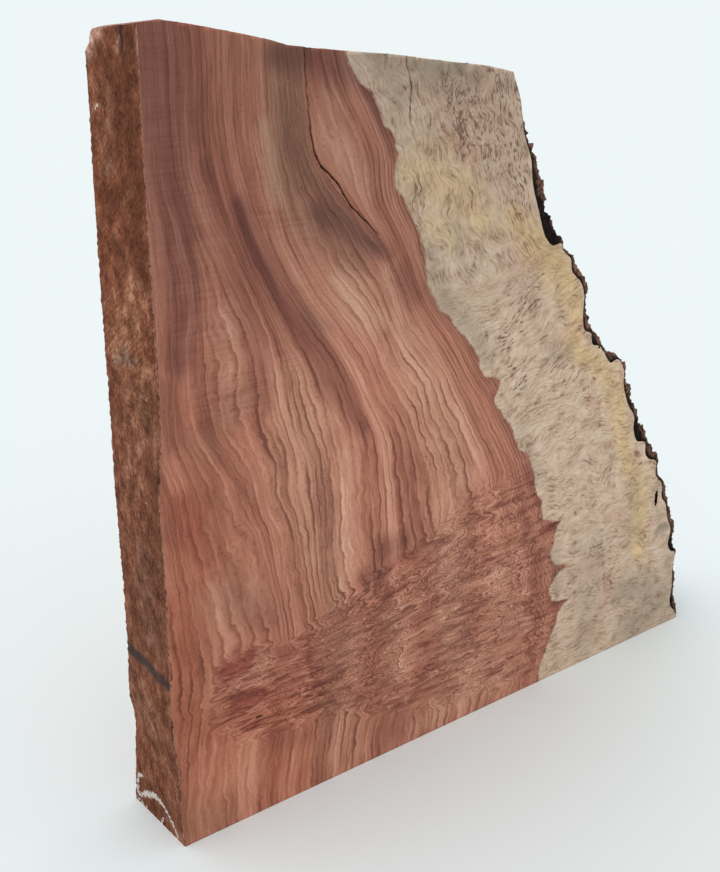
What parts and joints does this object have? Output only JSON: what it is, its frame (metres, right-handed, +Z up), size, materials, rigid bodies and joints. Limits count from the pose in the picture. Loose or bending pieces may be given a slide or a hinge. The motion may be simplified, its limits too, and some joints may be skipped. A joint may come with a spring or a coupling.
{
  "type": "burl wood slice",
  "caption": "Upright sawn slice of amboyna burl with flat faces, a flat foot, a rough sawn left side and a natural live edge.",
  "frame": {"origin": "middle of the bounding box on the surface that the slice stands on", "axes": "+X to the right along the sawn front face, towards the live edge; the front face looks along -Y; +Z up"},
  "size_m": [0.3066, 0.038, 0.2959],
  "materials": {
    "burl_wood": "fine sawn, unfinished: reddish brown figured heartwood, pale sapwood, dark bark on the live edge"
  },
  "bodies": {
    "root": {"burl_slab": "burl_wood"}
  },
  "joints": []
}
